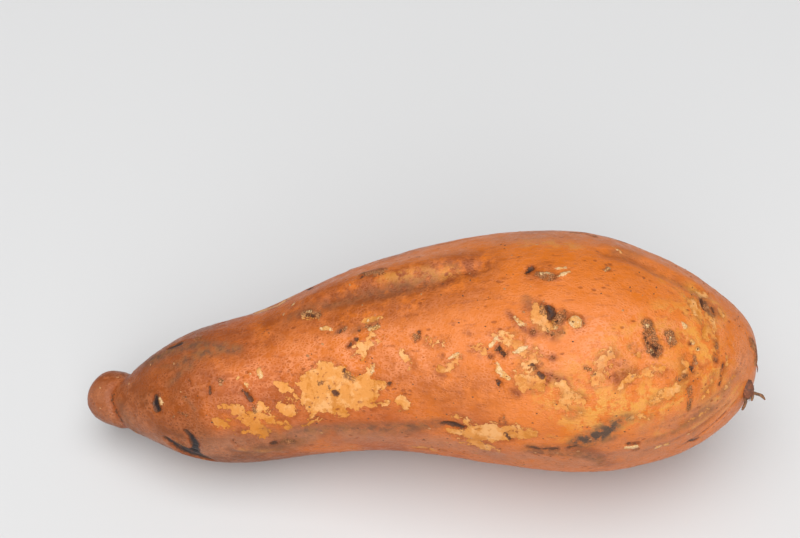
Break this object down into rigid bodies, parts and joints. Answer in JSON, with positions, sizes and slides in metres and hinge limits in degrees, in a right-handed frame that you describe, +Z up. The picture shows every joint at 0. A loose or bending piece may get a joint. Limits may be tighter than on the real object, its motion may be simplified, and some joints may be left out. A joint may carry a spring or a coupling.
{
  "type": "sweet potato",
  "caption": "Raw sweet potato lying on its side: a tapering tuber with a snapped stem stub, a lobe, a fat bulb and a tail root with broken rootlets.",
  "frame": {"origin": "on the surface the tuber lies on, under the middle of its bounding box", "axes": "+X along the tuber towards the bulb and its tail root, +Y away from the side shown in the picture, +Z up"},
  "size_m": [0.203, 0.074, 0.0689],
  "materials": {
    "skin": "satin"
  },
  "bodies": {
    "root": {"sweet_potato": "skin"}
  },
  "joints": []
}
